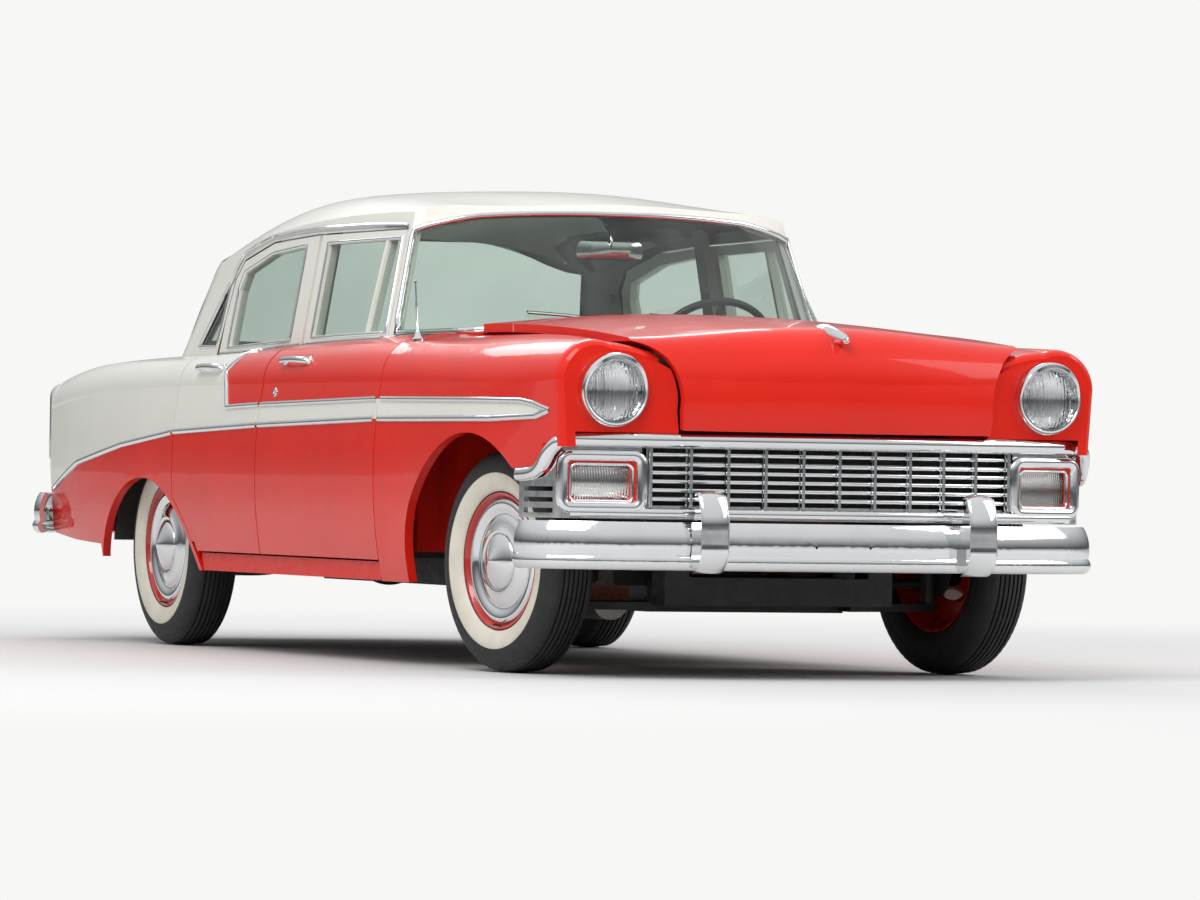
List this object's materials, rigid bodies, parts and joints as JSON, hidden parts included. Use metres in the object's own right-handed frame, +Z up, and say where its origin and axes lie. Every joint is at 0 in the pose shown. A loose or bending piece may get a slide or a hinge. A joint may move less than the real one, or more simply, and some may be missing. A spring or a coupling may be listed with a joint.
{
  "type": "sedan car",
  "caption": "Red and white 1950s-style sedan with a hollow cabin, opening doors, hood and trunk lid, steered front wheels and rolling road wheels.",
  "frame": {"origin": "on the ground, below the middle of the car's length and width", "axes": "+Z up, the car faces -Y, +X is the car's left (driver's) side"},
  "size_m": [1.9003, 5.017, 1.5397],
  "materials": {
    "red_paint": "glossy",
    "white_paint": "glossy",
    "wheel_paint": "glossy",
    "chassis_black": "satin",
    "chrome": "polished",
    "glass": "clear",
    "lens_clear": "fluted",
    "lens_red": "glossy",
    "tyre": "matt",
    "upholstery": "woven",
    "dash_paint": "glossy",
    "wheel_rim_plastic": "glossy",
    "engine_iron": "painted",
    "exhaust_steel": "dull"
  },
  "bodies": {
    "body": {"cowl": "red_paint", "dashboard": "dash_paint", "engine": "engine_iron", "exhaust": "exhaust_steel", "floor_pan": "chassis_black", "frame": "chassis_black", "front_bumper": "chrome", "front_fender_left": "red_paint", "front_fender_right": "red_paint", "front_lenses": "lens_clear", "front_seat": "upholstery", "front_structure": "chassis_black", "front_suspension": "chassis_black", "fuel_tank": "chassis_black", "grille": "chrome", "quarter_left": "white_paint", "quarter_right": "white_paint", "rear_axle": "chassis_black", "rear_bumper": "chrome", "rear_deck": "white_paint", "rear_glass": "glass", "rear_seat": "upholstery", "roof": "white_paint", "tail_lamps": "lens_red", "windshield": "glass"},
    "hood": {"hood": "red_paint"},
    "trunk_lid": {"trunk_lid": "white_paint"},
    "front_door_left": {"front_door_left": "red_paint", "front_door_glass_left": "glass"},
    "front_door_right": {"front_door_right": "red_paint", "front_door_glass_right": "glass"},
    "rear_door_left": {"rear_door_left": "red_paint", "rear_door_glass_left": "glass"},
    "rear_door_right": {"rear_door_right": "red_paint", "rear_door_glass_right": "glass"},
    "knuckle_left": {"knuckle_left": "chassis_black"},
    "knuckle_right": {"knuckle_right": "chassis_black"},
    "steering_wheel": {"steering_wheel": "wheel_rim_plastic"},
    "wheel_front_left": {"wheel_front_left": "wheel_paint", "tyre_front_left": "tyre"},
    "wheel_front_right": {"wheel_front_right": "wheel_paint", "tyre_front_right": "tyre"},
    "wheel_rear_left": {"wheel_rear_left": "wheel_paint", "tyre_rear_left": "tyre"},
    "wheel_rear_right": {"wheel_rear_right": "wheel_paint", "tyre_rear_right": "tyre"}
  },
  "joints": [
    {"name": "hood", "type": "hinge", "parent": "body", "child": "hood", "pos_m": [0, -1.15, 1.092], "axis": [-1, 0, 0], "range_deg": [0, 50]},
    {"name": "trunk_lid", "type": "hinge", "parent": "body", "child": "trunk_lid", "pos_m": [0, 1.64, 1.002], "axis": [1, 0, 0], "range_deg": [0, 65]},
    {"name": "front_door_left", "type": "hinge", "parent": "body", "child": "front_door_left", "pos_m": [0.925, -0.94, 0.7], "axis": [0, 0, -1], "range_deg": [0, 65]},
    {"name": "front_door_right", "type": "hinge", "parent": "body", "child": "front_door_right", "pos_m": [-0.925, -0.94, 0.7], "axis": [0, 0, 1], "range_deg": [0, 65]},
    {"name": "rear_door_left", "type": "hinge", "parent": "body", "child": "rear_door_left", "pos_m": [0.925, 0.11, 0.7], "axis": [0, 0, -1], "range_deg": [0, 65]},
    {"name": "rear_door_right", "type": "hinge", "parent": "body", "child": "rear_door_right", "pos_m": [-0.925, 0.11, 0.7], "axis": [0, 0, 1], "range_deg": [0, 65]},
    {"name": "steer", "type": "hinge", "parent": "body", "child": "knuckle_left", "pos_m": [0.6545, -1.6805, 0.34], "axis": [0, 0, 1], "range_deg": [-42, 24]},
    {"name": "steer_right", "type": "hinge", "parent": "body", "child": "knuckle_right", "pos_m": [-0.6545, -1.6805, 0.34], "axis": [0, 0, 1], "range_deg": [-42, 24]},
    {"name": "steering_wheel", "type": "hinge", "parent": "body", "child": "steering_wheel", "pos_m": [0.33, -0.69, 0.985], "axis": [0, 0.848, 0.5299], "range_deg": [-1050, 600]},
    {"name": "spin_front_left", "type": "hinge", "parent": "knuckle_left", "child": "wheel_front_left", "pos_m": [0.73549, -1.66767, 0.34], "axis": [0.9877, 0.1564, 0], "continuous": true},
    {"name": "spin_front_right", "type": "hinge", "parent": "knuckle_right", "child": "wheel_front_right", "pos_m": [-0.73549, -1.69333, 0.34], "axis": [-0.9877, -0.1564, 0], "continuous": true},
    {"name": "spin_rear_left", "type": "hinge", "parent": "body", "child": "wheel_rear_left", "pos_m": [0.748, 1.2405, 0.34], "axis": [1, 0, 0], "continuous": true},
    {"name": "spin_rear_right", "type": "hinge", "parent": "body", "child": "wheel_rear_right", "pos_m": [-0.748, 1.2405, 0.34], "axis": [-1, 0, 0], "continuous": true}
  ],
  "couplings": [
    {"joint": "steer_right", "follows": "steer", "ratio": 1},
    {"joint": "steering_wheel", "follows": "steer", "ratio": 25}
  ]
}
